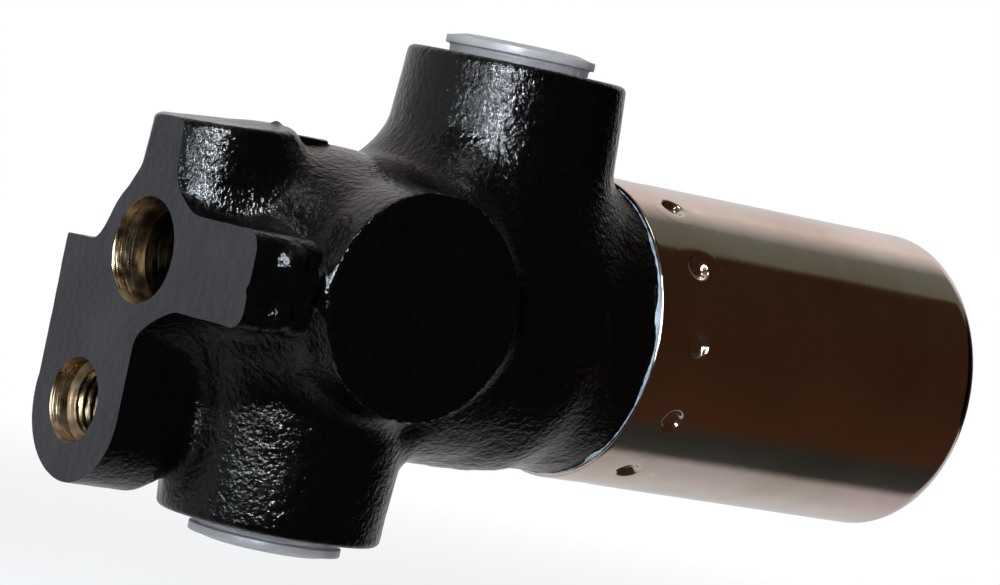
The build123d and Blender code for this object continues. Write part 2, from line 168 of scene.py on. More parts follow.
# Machined inside
port_mouth_radius = 11.3
port_mouth_depth = 6.0
port_chamfer = 0.4
port_overrun = 1.4
port_flare = 1.8
mouth_chamfer = 0.35
mouth_overrun = 2.0
mouth_flare = 1.9
passage_overlap = 0.5
passage_radius = 4.0
outlet_passage_offset = -4.8
inlet_passage_offset = 4.8
vent_passage_radius = 6.4
poppet_bore_radius = 11.0
poppet_bore_start = 22.0
outlet_bore_radius = 15.5
outlet_bore_start = 46.0
piston_bore_radius = 19.0
piston_bore_start = 78.0
seat_groove_start = 50.4
seat_groove_end = 51.7
guide_groove_start = 81.0
guide_groove_end = 82.6
groove_depth = 1.1
spigot_radius = 23.75
spigot_lead = 1.5
spigot_overlap = 4.0
lip_relief = 1.3
cutter_overrun = 5.0
ring_overrun = 3.0
stake_groove_width = 6.6
stake_groove_depth = 1.25
ear_step = 0.8
ear_through = 20.0
ear_thread_stop = 1.0
thread_pitch = 1.5
thread_slices = 10
thread_crest = 1.25
thread_flank = 2.5
vent_thread_depth = 0.08
ear_thread_depth = 0.45
port_thread_depth = 0.81

# Spring can
can_wall = 1.2
can_corner = 4.6
can_lip_round = 0.35
can_step = 0.7
can_wave_height = 0.035
can_wave_along = 26
can_wave_round = 17
can_wave_fade = 10
dimple_count = 12
dimple_x = can_lip + 8.5
dimple_radius = 2.05
dimple_slope = 1.5
dimple_depth = 1.1
dimple_softness = 0.22
dimple_turn = -3.4
dent_radius = 4.6
dent_depth = 0.14

# Sealant, with its blobs as degrees round X from +Y and added width
bead_size = 0.22
bead_least = 0.12
bead_widest = 1.6
bead_highest = 0.5
bead_lip = 0.1
bead_blobs = ((168, 0.8), (233, 0.9), (140, 0.4))
bead_blob_spread = 5.0

# Transport plugs
plug_rim_radius = 12.1
plug_rim_gap = 1.4
plug_rim_thickness = 1.3
plug_dome_radius = 9.6
plug_dome_rise = 0.6
plug_skirt_length = 5.0
plug_skirt_radius = 11.24
plug_wall = 1.0
plug_edge = 0.15
plug_taper = 0.3
hub_radius = 0.02

# Springs, as the solids have them: start, end, mean radius, wire and turns
main_coil = (95.1, 149.4, 15.5, 4.5, 7.5)
poppet_coil = (30.2, 38.7, 6.9, 1.2, 4.0)
coil_steps = 48
wire_segments = 20

# Materials: the usual range of a noise, and the painted shade that darkens the bare metal down the holes of
# the mounting face
noise_low = 0.3
noise_high = 0.7
hole_painted_shade_start = 3.0
hole_painted_shade_end = 7.0
hole_painted_shade = 0.2

# Studio
fill_colour = (0.93, 0.96, 1.0)
fill_strength = 0.55
floor_depth = -118.0
floor_reach = 6000.0
floor_grey = 0.86
floor_fade_start = 350.0
floor_fade_end = 1100.0
dome_radius = 900.0
dome_floor_gap = 3.0
dome_strength = 1.25
dome_dark_strength = 0.03
dome_dark_start = 800.0
dome_dark_end = 850.0
side_wall_colour = (0.93, 0.97, 1.0)
side_wall_start = -650.0
side_wall_end = -770.0
side_wall_height = 340.0
side_wall_top = 520.0
side_wall_strength = 0.75
lamp_centre = (50, 0, 0)

# The dome's colours round the X axis, in degrees from the front (-Y) over the top to the back
dome_colours = (
    (-180, (0.50, 0.52, 0.55)),
    (-120, (0.47, 0.45, 0.45)),
    (-88, (0.34, 0.31, 0.31)),
    (-80, (0.035, 0.035, 0.033)),
    (-62, (0.022, 0.023, 0.019)),
    (-50, (0.040, 0.017, 0.008)),
    (0, (0.030, 0.0135, 0.0065)),
    (77, (0.028, 0.014, 0.007)),
    (79, (0.105, 0.10, 0.075)),
    (102, (0.13, 0.13, 0.118)),
    (112, (0.36, 0.34, 0.33)),
    (126, (0.66, 0.58, 0.55)),
    (180, (0.50, 0.52, 0.55)),
)

# Camera, fitted to the photograph
camera_turn = -37.58
camera_height = 1.85
camera_roll = 11.74
camera_target = (68.2, -0.34, 3.3)
camera_distance = 718.63
camera_focal_pixels = 4474.89
picture_width = 1000
sensor_width = 36


def direction(turn, height):
    """The direction to an azimuth and height in degrees, as the views count them."""
    a, e = radians(turn), radians(height)
    return Vector((sin(a) * cos(e), -cos(a) * cos(e), sin(e)))


def make_camera():
    """The camera at the photograph's viewing angle."""
    turn = radians(camera_turn)
    roll = radians(camera_roll)
    back = direction(camera_turn, camera_height)
    level = Vector((cos(turn), sin(turn), 0))
    upright = back.cross(level)
    right = level * cos(roll) + upright * sin(roll)
    up = upright * cos(roll) - level * sin(roll)
    place = (Vector(camera_target) + back * camera_distance) * MM
    data = bpy.data.cameras.new("camera")
    data.sensor_width = sensor_width
    data.lens = camera_focal_pixels / picture_width * sensor_width
    data.clip_start = 0.01
    camera = bpy.data.objects.new("camera", data)
    rows = [(right[i], up[i], back[i], place[i]) for i in range(3)]
    camera.matrix_world = Matrix(rows + [(0, 0, 0, 1)])
    bpy.context.collection.objects.link(camera)
    bpy.context.scene.camera = camera


# Meshes

def mesh_object(name, points, faces):
    """A smooth-shaded object from points in millimetres."""
    mesh = bpy.data.meshes.new(name)
    mesh.from_pydata((np.asarray(points) * MM).tolist(), [], [list(face) for face in faces])
    mesh.polygons.foreach_set("use_smooth", np.ones(len(mesh.polygons), bool))
    mesh.update()
    thing = bpy.data.objects.new(name, mesh)
    bpy.context.collection.objects.link(thing)
    return thing


def grid_faces(rows, columns):
    """The quads between rows of points that each close on themselves."""
    row, column = np.meshgrid(np.arange(rows - 1), np.arange(columns), indexing="ij")
    after = (column + 1) % columns
    this, following = row * columns, (row + 1) * columns
    quads = [this + column, this + after, following + after, following + column]
    return np.stack(quads, axis=-1).reshape(-1, 4)


def round_turn(segments):
    """Angles spaced evenly round a circle."""
    return np.arange(segments) * 2 * pi / segments


def ring(x, radius, turn):
    """Points round the X axis. The place along it and the radius may vary round the turn."""
    return np.stack([np.broadcast_to(x, len(turn)), radius * np.cos(turn), radius * np.sin(turn)], axis=-1)


def lathe(name, rows, segments):
    """A closed solid turned about X. A row is (x, radius), and the radius may vary round the turn."""
    turn = round_turn(segments)
    rings = [ring(x, radius, turn) for x, radius in rows]
    ends = np.array([(rows[0][0], 0, 0), (rows[-1][0], 0, 0)])
    points = np.concatenate(rings + [ends])
    faces = grid_faces(len(rows), segments).tolist()
    start_hub = len(points) - 2
    end_hub = len(points) - 1
    last = (len(rows) - 1) * segments
    for i in range(segments):
        after = (i + 1) % segments
        faces.append((after, i, start_hub))
        faces.append((last + i, last + after, end_hub))
    return mesh_object(name, points, faces)


def thread_rows(start, end, core_radius, depth, segments):
    """Rows of an inside thread: the core widened by a helical groove."""
    turn = np.arange(segments) / segments
    rows = []
    for x in np.arange(start, end + 1e-6, thread_pitch / thread_slices):
        phase = (x / thread_pitch - turn) % 1
        ridge = np.clip(thread_crest - thread_flank * np.abs(phase - 0.5), 0, 1)
        fade = min(1, max(0, (end - x) / thread_pitch), max(0, (x - start) / (thread_pitch / 2)))
        rows.append((x, core_radius + depth * (1 - ridge) * fade))
    return rows


def noise_at(points):
    """Smooth noise at each point."""
    return np.array([noise.noise(Vector(point)) for point in points])


def cut(thing, cutter, operation="DIFFERENCE"):
    """Cuts a cutter out of a thing, or joins it on, and removes the cutter."""
    modifier = thing.modifiers.new("cut", "BOOLEAN")
    modifier.solver = "MANIFOLD"
    modifier.operation = operation
    modifier.object = cutter
    depsgraph = bpy.context.evaluated_depsgraph_get()
    result = bpy.data.meshes.new_from_object(thing.evaluated_get(depsgraph))
    thing.modifiers.clear()
    old = thing.data
    thing.data = result
    bpy.data.meshes.remove(old)
    bpy.data.objects.remove(cutter)


# Casting

def round_union(first, second, radius):
    """Two fields joined, with a fillet of that radius where they meet."""
    a = np.maximum(radius - first, 0)
    b = np.maximum(radius - second, 0)
    return np.maximum(radius, np.minimum(first, second)) - np.sqrt(a * a + b * b)


def round_cut(first, second, radius):
    """What two fields share, with an edge of that radius."""
    a = np.maximum(first + radius, 0)
    b = np.maximum(second + radius, 0)
    return np.minimum(-radius, np.maximum(first, second)) + np.sqrt(a * a + b * b)


def flare(start, start_radius, end, end_radius):
    """Points of a smooth S-shaped rise from one radius to another."""
    step = np.linspace(0, 1, 25)
    middle = (start + end) / 2
    x = start * (1 - step) ** 3 + 3 * middle * step * (1 - step) + end * step ** 3
    radius = start_radius + (end_radius - start_radius) * (3 * step ** 2 - 2 * step ** 3)
    return x, radius


core_stretches = (
    flare(0, neck_radius, spine_start, spine_radius),
    flare(barrel_start - barrel_flare, spine_radius, barrel_start + barrel_flare, barrel_radius),
    flare(band_start - band_flare, barrel_radius, band_start, band_radius),
)
core_x = np.concatenate([stretch[0] for stretch in core_stretches])
core_radius = np.concatenate([stretch[1] for stretch in core_stretches])
core_slope = np.gradient(core_radius, core_x + np.arange(len(core_x)) * 1e-6)


def core_field(x, y, z):
    """Distance from the turned core."""
    slope = np.interp(x, core_x, core_slope)
    return (np.sqrt(y * y + z * z) - np.interp(x, core_x, core_radius)) / np.sqrt(1 + slope * slope)


def boss_field(across, along, height, radius, face, draft, edge):
    """Distance from a drafted boss, whose own axis is at across = 0 and along = 0."""
    angle = radians(draft)
    side = np.sqrt(across * across + along * along)
    wall = (side - radius - (face - height) * tan(angle)) * cos(angle)
    return np.maximum(round_cut(wall, height - face, edge), -height)


def box_field(y, z, low, high, edge=0.0):
    """Distance from a rectangle in the flange's plane."""
    a = np.abs(y - (low[0] + high[0]) / 2) - (high[0] - low[0]) / 2 + edge
    b = np.abs(z - (low[1] + high[1]) / 2) - (high[1] - low[1]) / 2 + edge
    outside = np.sqrt(np.maximum(a, 0) ** 2 + np.maximum(b, 0) ** 2)
    return outside + np.minimum(np.maximum(a, b), 0) - edge


def flange_field(x, y, z):
    """Distance from the flange: core, ear with its shoulder, and arm."""
    ear_left = ear_y - ear_radius
    core = np.sqrt(y * y + z * z) - neck_radius
    ear = np.sqrt((y - ear_y) ** 2 + (z - ear_z) ** 2) - ear_radius
    shank = box_field(y, z, (ear_left, ear_z), (ear_shoulder_y, ear_shoulder_z), ear_shoulder_edge)
    groove = np.exp(-((z - parting_z) / parting_width) ** 2)
    curve = (np.clip(x, 0, 2 * arm_middle) / arm_middle - 1) ** 2
    reach = arm_reach - arm_curve * curve - parting_depth * groove
    arm = box_field(y, z, (-reach, arm_bottom), (0, arm_top), arm_end_radius)
    outline = round_union(np.minimum(ear, shank), core, corner_fillet)
    outline = round_union(outline, arm, corner_fillet)
    for pad_x, pad_z, radius, rise in arm_pads:
        pad = np.sqrt((x - pad_x) ** 2 + (y + arm_reach + rise - radius) ** 2 + (z - pad_z) ** 2) - radius
        outline = round_union(outline, pad, pad_fillet)
    return round_cut(outline, x - flange_thickness, flange_edge)


def stub_field(x, y, z):
    """Distance from the stub boss with its tilted top."""
    angle = radians(stub_draft)
    tilt = radians(stub_tilt)
    side = np.sqrt((x - stub_x) ** 2 + y * y)
    wall = (side - stub_radius - (stub_top - z) * tan(angle)) * cos(angle)
    top = (z - stub_top) * cos(tilt) - (x - stub_x) * sin(tilt)
    return np.maximum(round_cut(wall, top, stub_edge), -z)


def casting_marks(x, y, z):
    """Distance from the strip along the parting of the mould and from the small lump."""
    middle = (strip_start + strip_end) / 2
    strip = np.maximum(core_field(x, y, z) - strip_rise, np.abs(y) - strip_width / 2)
    strip = np.maximum(strip, np.abs(x - middle) - (strip_end - strip_start) / 2)
    strip = np.maximum(strip, -z)
    lump = np.sqrt(sum((value - centre) ** 2 for value, centre in zip((x, y, z), lump_place))) - lump_radius
    return np.minimum(strip, lump)


def casting_field(x, y, z):
    """Distance from the whole cast outside."""
    body = core_field(x, y, z)
    outlet = boss_field(x - outlet_x, y, z, boss_radius, outlet_face, boss_draft, boss_edge)
    inlet = boss_field(x - inlet_x, y, -z, boss_radius, inlet_face, boss_draft, boss_edge)
    blind = boss_field(x - inlet_x, z, -y, blind_radius, blind_face, blind_draft, blind_edge)
    fillet_steps = (-boss_radius, -boss_radius / 2, outlet_fillet_reach, boss_radius)
    fillet_x = [outlet_x + step for step in fillet_steps]
    fillet = np.interp(x, fillet_x, (root_fillet, outlet_fillet, outlet_fillet, root_fillet))
    body = round_union(body, outlet, fillet)
    body = round_union(body, inlet, root_fillet)
    body = round_union(body, blind, blind_fillet)
    head = round_union(flange_field(x, y, z), stub_field(x, y, z), stub_fillet)
    body = round_union(body, head, head_fillet)
    return round_union(body, casting_marks(x, y, z), mark_fillet)


def surface_net(field, low, step):
    """A closed quad mesh where the field changes sign, with one point in each mixed cell."""
    inside = field < 0
    size = [length - 1 for length in field.shape]
    total_inside = np.zeros(size, np.uint8)
    corners = list(product((0, 1), repeat=3))
    for a, b, c in corners:
        total_inside += inside[a:a + size[0], b:b + size[1], c:c + size[2]]
    mixed = (total_inside > 0) & (total_inside < 8)
    cell = np.argwhere(mixed)
    index = np.full(mixed.shape, -1, np.int32)
    index[mixed] = np.arange(len(cell))
    value = {corner: field[tuple((cell + corner).T)] for corner in corners}
    total = np.zeros((len(cell), 3))
    count = np.zeros(len(cell))
    for axis in range(3):
        for start in corners:
            if start[axis]:
                continue
            end = tuple(1 if i == axis else start[i] for i in range(3))
            crossing = (value[start] < 0) != (value[end] < 0)
            share = value[start][crossing] / (value[start][crossing] - value[end][crossing])
            total[crossing] += start
            total[crossing, axis] += share
            count[crossing] += 1
    points = low + step * (cell + total / count[:, None])
    faces = []
    for axis in range(3):
        u, v = (axis + 1) % 3, (axis + 2) % 3
        first = np.moveaxis(inside, axis, 0)[:-1]
        second = np.moveaxis(inside, axis, 0)[1:]
        order = [axis] + [i for i in range(3) if i != axis]
        edge = np.argwhere(first != second)
        place = np.empty_like(edge)
        place[:, order] = edge
        starts_inside = inside[tuple(place.T)]
        quad = []
        for du, dv in ((0, 0), (-1, 0), (-1, -1), (0, -1)):
            around = place.copy()
            around[:, u] += du
            around[:, v] += dv
            quad.append(index[tuple(around.T)])
        quad = np.stack(quad, axis=1)
        quad[~starts_inside] = quad[~starts_inside][:, ::-1]
        faces.append(quad)
    return points, np.concatenate(faces)


def field_slope(points):
    """The casting field's slope at points."""
    reach = 0.05
    slopes = []
    for axis in range(3):
        offset = np.zeros(3)
        offset[axis] = reach
        ahead = casting_field(*(points + offset).T)
        behind = casting_field(*(points - offset).T)
        slopes.append((ahead - behind) / (2 * reach))
    return np.stack(slopes, axis=1)


def cast_skin(points, normals):
    """Moves points along their normals by the bumps of a sand-cast skin."""
    face_near = np.minimum(np.abs(points[:, 2] - outlet_face), np.abs(points[:, 2] + inlet_face))
    calm = np.clip(face_near / calm_reach, calm_share, 1)
    calm = calm * np.clip((shoulder_x - points[:, 0]) / skin_fade, 0, 1)
    underside = np.clip((underside_z - points[:, 2]) / underside_fade, 0, 1)
    underside = underside * np.clip((points[:, 0] - inlet_x - boss_radius) / skin_fade, 0, 1)
    height = np.zeros(len(points))
    for wave, size in skin_waves:
        height += size * noise_at(points / wave) * (1 + underside_roughness * underside)
    return points + normals * (height * calm)[:, None]


def casting():
    """The cast outside as a dense mesh, before machining."""
    low = np.array((0, -arm_reach, -inlet_face)) - casting_margin
    high = np.array((shoulder_x, barrel_radius, outlet_face)) + casting_margin
    axes = [np.arange(low[i], high[i] + casting_grid, casting_grid) for i in range(3)]
    x, y, z = np.meshgrid(*axes, indexing="ij", sparse=True)
    field = casting_field(x, y, z)
    field = np.maximum(field, -machining_stock - x)
    field = np.maximum(field, x - shoulder_x - machining_stock)
    points, faces = surface_net(field, low, casting_grid)
    free = (points[:, 0] > -settled_stock) & (points[:, 0] < shoulder_x + settled_stock)
    for _ in range(settle_rounds):
        moving = points[free]
        slope = field_slope(moving)
        length = np.maximum((slope ** 2).sum(axis=1), 0.25)
        step = (casting_field(*moving.T) / length)[:, None] * slope
        points[free] = moving - np.clip(step, -casting_grid / 2, casting_grid / 2)
    normals = field_slope(points)
    normals /= np.linalg.norm(normals, axis=1)[:, None]
    points[free] = cast_skin(points, normals)[free]
    return mesh_object("valve_casting", points, faces)


def turn_upright(thing, x, downwards):
    """Stands a turned cutter on the main axis at x, with its own X as +Z or -Z."""
    direction = 1 if downwards else -1
    upright = Matrix.Rotation(direction * pi / 2, 4, "Y")
    thing.data.transform(Matrix.Translation((x * MM, 0, 0)) @ upright)


def mouth_rows(radius, depth):
    """Rows of a chamfered hole in the mounting face, from outside the face."""
    return [(-mouth_overrun, radius + mouth_flare), (mouth_chamfer, radius), (depth, radius)]


def port_cutter(face):
    """The hole of a port, from its floor out past its face."""
    segments = 96
    mouth_end = face - port_mouth_depth
    thread_end = mouth_end - port_thread_length
    rows = [(thread_end, port_thread_radius)]
    rows += thread_rows(thread_end, mouth_end, port_thread_radius, port_thread_depth, segments)
    rows += [
        (mouth_end, port_mouth_radius),
        (face - port_chamfer, port_mouth_radius),
        (face + port_overrun, port_mouth_radius + port_flare),
    ]
    return lathe("port_cutter", rows, segments)


def passage_cutter(face):
    """The drilled passage between a port and the main bore."""
    thread_end = face - port_mouth_depth - port_thread_length
    return lathe("passage_cutter", [(0, passage_radius), (thread_end + passage_overlap, passage_radius)], 48)


def main_bore_cutter():
    """The vent with its thread, and the stepped bore behind it."""
    segments = 128
    thread_start = vent_mouth_depth
    thread_end = thread_start + vent_thread_length
    rows = mouth_rows(vent_mouth_radius, thread_start)
    rows += thread_rows(thread_start, thread_end, vent_thread_radius, vent_thread_depth, segments)
    steps = (
        (poppet_bore_start, vent_passage_radius),
        (outlet_bore_start, poppet_bore_radius),
        (seat_groove_start, outlet_bore_radius),
        (seat_groove_end, outlet_bore_radius + groove_depth),
        (piston_bore_start, outlet_bore_radius),
        (guide_groove_start, piston_bore_radius),
        (guide_groove_end, piston_bore_radius + groove_depth),
        (body_end + 1, piston_bore_radius),
    )
    start = thread_end
    for end, radius in steps:
        rows += [(start, radius), (end, radius)]
        start = end
    return lathe("main_bore_cutter", rows, segments)


def ear_cutter():
    """The threaded hole through the ear."""
    segments = 96
    thread_start = ear_mouth_depth + ear_step
    thread_end = ear_through - ear_thread_stop
    rows = mouth_rows(ear_mouth_radius, ear_mouth_depth)
    rows += [(thread_start, ear_thread_radius)]
    rows += thread_rows(thread_start, thread_end, ear_thread_radius, ear_thread_depth, segments)
    rows += [(ear_through, ear_thread_radius)]
    cutter = lathe("ear_cutter", rows, segments)
    cutter.data.transform(Matrix.Translation((0, ear_hole_y * MM, ear_hole_z * MM)))
    return cutter


def ring_cutter(start, end, inner, outer):
    """A plain ring about the main axis."""
    segments = 192
    turn = round_turn(segments)
    corners = ((start, inner), (end, inner), (end, outer), (start, outer))
    points = np.concatenate([ring(x, radius, turn) for x, radius in corners])
    faces = grid_faces(len(corners) + 1, segments) % len(points)
    return mesh_object("ring_cutter", points, faces)


def disc_cutter(start, end):
    """A wide disc, ringed finely so that a face cut with it keeps small polygons."""
    rings = np.arange(64, 1, -2.0)
    rows = [(start, radius) for radius in rings[::-1]] + [(end, radius) for radius in rings]
    return lathe("disc_cutter", rows, 120)


def valve_body():
    """The casting with its machined faces and holes."""
    body = casting()
    cut(body, disc_cutter(-cutter_overrun, 0))
    cut(body, disc_cutter(shoulder_x, shoulder_x + cutter_overrun))
    rim = outlet_face + cutter_overrun
    cut(body, ring_cutter(can_lip - lip_relief, shoulder_x + ring_overrun, band_radius, rim))
    groove_floor = spigot_radius - stake_groove_depth
    spigot_rows = [
        (shoulder_x - spigot_overlap, spigot_radius),
        (dimple_x - stake_groove_width / 2, spigot_radius),
        (dimple_x - stake_groove_width / 2, groove_floor),
        (dimple_x + stake_groove_width / 2, groove_floor),
        (dimple_x + stake_groove_width / 2, spigot_radius),
        (body_end - spigot_lead, spigot_radius),
        (body_end, spigot_radius - spigot_lead),
    ]
    cut(body, lathe("spigot", spigot_rows, 192), "UNION")
    cut(body, main_bore_cutter())
    cut(body, ear_cutter())
    ports = (
        (outlet_x, outlet_face, outlet_passage_offset, False),
        (inlet_x, inlet_face, inlet_passage_offset, True),
    )
    for x, face, offset, downwards in ports:
        port = port_cutter(face)
        turn_upright(port, x, downwards)
        cut(body, port)
        passage = passage_cutter(face)
        turn_upright(passage, x + offset, downwards)
        cut(body, passage)
    body.name = "valve_body_casting"
    body.data.name = "valve_body_casting"
    body.data.polygons.foreach_set("use_smooth", np.ones(len(body.data.polygons), bool))
    body.data.set_sharp_from_angle(angle=radians(42))
    return body


def polygon_places(mesh):
    """The centre and the normal of each face, in millimetres."""
    centres = np.zeros(len(mesh.polygons) * 3)
    mesh.polygons.foreach_get("center", centres)
    normals = np.zeros(len(mesh.polygons) * 3)
    mesh.polygons.foreach_get("normal", normals)
    return centres.reshape(-1, 3) / MM, normals.reshape(-1, 3)


def paint_body(body, paint, machined, bare):
    """Gives the mounting face its flat paint and the holes and spigot their bare metal."""
    mesh = body.data
    mesh.materials.clear()
    for material in (paint, machined, bare):
        mesh.materials.append(material)
    centre, normal = polygon_places(mesh)
    x, y, z = centre.T
    off_axis = np.hypot(y, z)
    off_ear = np.hypot(y - ear_hole_y, z - ear_hole_z)
    rim = 0.5
    margin = 0.1
    slots = np.zeros(len(x), int)
    slots[(np.abs(x) < 0.01) & (normal[:, 0] < -0.9)] = 1
    vent = (off_axis < vent_mouth_radius + rim) & (x > 0.001) & (x < body_end - 0.001)
    ear = (off_ear < ear_mouth_radius + rim) & (x > 0.001) & (x < ear_through)
    inside = (off_axis < poppet_bore_radius + margin) & (x > 1)
    outlet = (np.hypot(x - outlet_x, y) < port_mouth_radius + rim) & (z > 0) & (z < outlet_face - 0.05)
    inlet = (np.hypot(x - inlet_x, y) < port_mouth_radius + rim) & (z < 0) & (z > -inlet_face + 0.05)
    spigot = x > shoulder_x - 0.01
    bore = (x > outlet_bore_start - margin) & (off_axis < piston_bore_radius + groove_depth + margin)
    slots[vent | ear | outlet | inlet | spigot | bore | inside] = 2
    mesh.polygons.foreach_set("material_index", slots)


def can_profile():
    """The can's wall as (x, radius) from the inside of its lip round to the outside."""
    corner_x = can_end - can_corner
    outer = [
        (can_lip + can_lip_round * (1 - sin(a)), can_radius - can_lip_round * (1 - cos(a)))
        for a in np.linspace(pi / 2, 0, 5)
    ]
    wall = np.concatenate([
        np.arange(can_lip + can_step, dimple_x - dent_radius, can_step),
        np.arange(dimple_x - dent_radius, dimple_x + dent_radius, 0.18),
        np.arange(dimple_x + dent_radius, corner_x, 2.0),
    ])
    outer += [(x, can_radius) for x in wall]
    outer += [
        (corner_x + can_corner * sin(a), can_radius - can_corner * (1 - cos(a)))
        for a in np.linspace(0, pi / 2, 17)
    ]
    inner_corner = can_corner - can_wall
    inner_radius = can_radius - can_wall
    inner = [
        (corner_x + inner_corner * sin(a), inner_radius - inner_corner * (1 - cos(a)))
        for a in np.linspace(pi / 2, 0, 9)
    ]
    inner += [(x, inner_radius) for x in wall[::-1]]
    inner += [(can_lip, inner_radius)]
    return outer, inner


def pit_depth(distance):
    """How deep a dimple is at a distance from its centre, with a soft brim."""
    wall = (dimple_radius - distance) * dimple_slope
    wall = (wall + np.sqrt(wall ** 2 + dimple_softness ** 2)) / 2
    spare = dimple_depth - wall
    pit = dimple_depth - (spare + np.sqrt(spare ** 2 + dimple_softness ** 2)) / 2
    dent = dent_depth * np.clip(1 - distance / dent_radius, 0, 1) ** 2
    return pit + dent


def spring_can():
    """The drawn can with its dimples and slightly uneven wall."""
    segments = 600
    outer, inner = can_profile()
    turn = round_turn(segments)
    dimple_turns = np.radians(dimple_turn + np.arange(dimple_count) * 360 / dimple_count)
    rings = []
    for x, radius in outer + inner:
        radii = np.full(segments, float(radius))
        if abs(radius - can_radius) < can_wall + 0.1 and x < can_end - can_corner:
            for centre in dimple_turns:
                across = (turn - centre + pi) % (2 * pi) - pi
                distance = np.hypot(across * can_radius, x - dimple_x)
                near = distance < dent_radius
                radii[near] -= pit_depth(distance[near])
        rings.append(ring(x, radii, turn))
    points = np.concatenate(rings)
    wave = noise_at(points / (can_wave_along, can_wave_round, can_wave_round))
    on_wall = np.clip((points[:, 0] - can_lip) / can_wave_fade, 0, 1)
    points[:, 1:] *= (1 + wave * on_wall * can_wave_height / can_radius)[:, None]
    faces = grid_faces(len(rings), segments).tolist()
    floor = len(outer) - 1
    faces = [face for face in faces if face[0] // segments != floor]
    hubs = np.array([(can_end, 0, 0), (can_end - can_wall, 0, 0)])
    end_hub = len(points)
    lip = len(rings) - 1
    for i in range(segments):
        after = (i + 1) % segments
        faces.append((floor * segments + i, floor * segments + after, end_hub))
        faces.append(((floor + 1) * segments + after, (floor + 1) * segments + i, end_hub + 1))
        faces.append((lip * segments + i, lip * segments + after, after, i))
    points = np.concatenate([points, hubs])
    thing = mesh_object("spring_can_shell", points, faces)
    thing.data.set_sharp_from_angle(angle=radians(50))
    return thing


def ring_noise(turn, size, height):
    """Smooth noise that closes on itself round a turn."""
    return noise_at([(size * cos(t), size * sin(t), height) for t in turn])


def sealant_bead():
    """An uneven bead of compound that lies on the band up to the can's lip."""
    segments = 480
    turn = round_turn(segments)
    lump = ring_noise(turn, 6, 1.5)
    fine = ring_noise(turn, 26, 7.5)
    width = bead_size + 0.25 * lump + 0.25 * fine
    height = bead_size + 0.16 * lump + 0.08 * fine
    for blob_turn, blob_width in bead_blobs:
        across = (np.degrees(turn) - blob_turn + 180) % 360 - 180
        width += blob_width * np.exp(-(across / bead_blob_spread) ** 2)
    width = np.clip(width, bead_least, bead_widest)
    height = np.clip(height, bead_least, bead_highest)
    end = can_lip + bead_lip
    foot = band_radius + 0.02
    sections = 9
    rings = []
    for step in range(sections):
        angle = pi / 2 * step / (sections - 1)
        rings.append(ring(end - width * cos(angle), foot + height * sin(angle), turn))
    rings.append(ring(end, foot, turn))
    points = np.concatenate(rings)
    faces = grid_faces(len(rings) + 1, segments) % len(points)
    return mesh_object("sealant_bead", points, faces)


def plug(name, x, face, downwards):
    """A moulded transport plug with its rim, domed top and hollow skirt."""
    segments = 128
    top = plug_rim_gap + plug_rim_thickness
    quarter = [(plug_edge * (1 - cos(a)), plug_edge * (1 - sin(a))) for a in np.linspace(0, pi / 2, 5)]
    rim = [(plug_rim_gap + rise, plug_rim_radius - inset) for rise, inset in quarter]
    rim += [(top - inset, plug_rim_radius - rise) for rise, inset in quarter]
    dome = [
        (top + 0.04, plug_rim_radius - 0.6),
        (top + plug_dome_rise * 0.85, plug_dome_radius),
        (top + plug_dome_rise, plug_dome_radius - 0.5),
        (top + plug_dome_rise, plug_dome_radius / 2),
        (top + plug_dome_rise, hub_radius),
    ]
    skirt_foot = plug_skirt_radius - plug_taper
    rows = [
        (top - plug_wall, hub_radius),
        (top - plug_wall, plug_skirt_radius - plug_wall - 0.6),
        (top - plug_wall - 0.6, plug_skirt_radius - plug_wall),
        (-plug_skirt_length + 0.2, skirt_foot - plug_wall + 0.1),
        (-plug_skirt_length, skirt_foot - plug_wall + 0.3),
        (-plug_skirt_length, skirt_foot - 0.3),
        (-plug_skirt_length + 0.4, skirt_foot),
        (-0.2, plug_skirt_radius),
        (plug_rim_gap - 0.25, plug_skirt_radius + 0.1),
        (plug_rim_gap, plug_skirt_radius + 0.35),
    ] + rim + dome
    thing = lathe(name, rows, segments)
    turn_upright(thing, 0, downwards)
    sign = -1 if downwards else 1
    thing.data.transform(Matrix.Translation((x * MM, 0, sign * face * MM)))
    thing.data.set_sharp_from_angle(angle=radians(50))
    return thing


def coil_spring(name, start, end, mean_radius, wire, turns):
    """A round wire wound along X, with its ends ground flat."""
    steps = round(turns * coil_steps)
    turned = np.linspace(0, 2 * pi * turns, steps + 1)
    lead = (end - start) / (2 * pi * turns)
    still = np.zeros(steps + 1)
    outward = np.stack([still, np.sin(turned), -np.cos(turned)], axis=-1)
    along = np.stack([still + lead, mean_radius * np.cos(turned), mean_radius * np.sin(turned)], axis=-1)
    along /= np.linalg.norm(along, axis=1, keepdims=True)
    side = np.cross(along, outward)
    centre = mean_radius * outward
    centre[:, 0] = start + lead * turned
    points = []
    for k in range(wire_segments):
        angle = 2 * pi * k / wire_segments
        points.append(centre + wire / 2 * (cos(angle) * outward + sin(angle) * side))
    points = np.stack(points, axis=1).reshape(-1, 3)
    points[:, 0] = np.clip(points[:, 0], start, end)
    faces = grid_faces(steps + 1, wire_segments).tolist()
    last = steps * wire_segments
    faces.append(list(range(wire_segments))[::-1])
    faces.append(list(range(last, last + wire_segments)))
    return mesh_object(name, points, faces)


# Materials

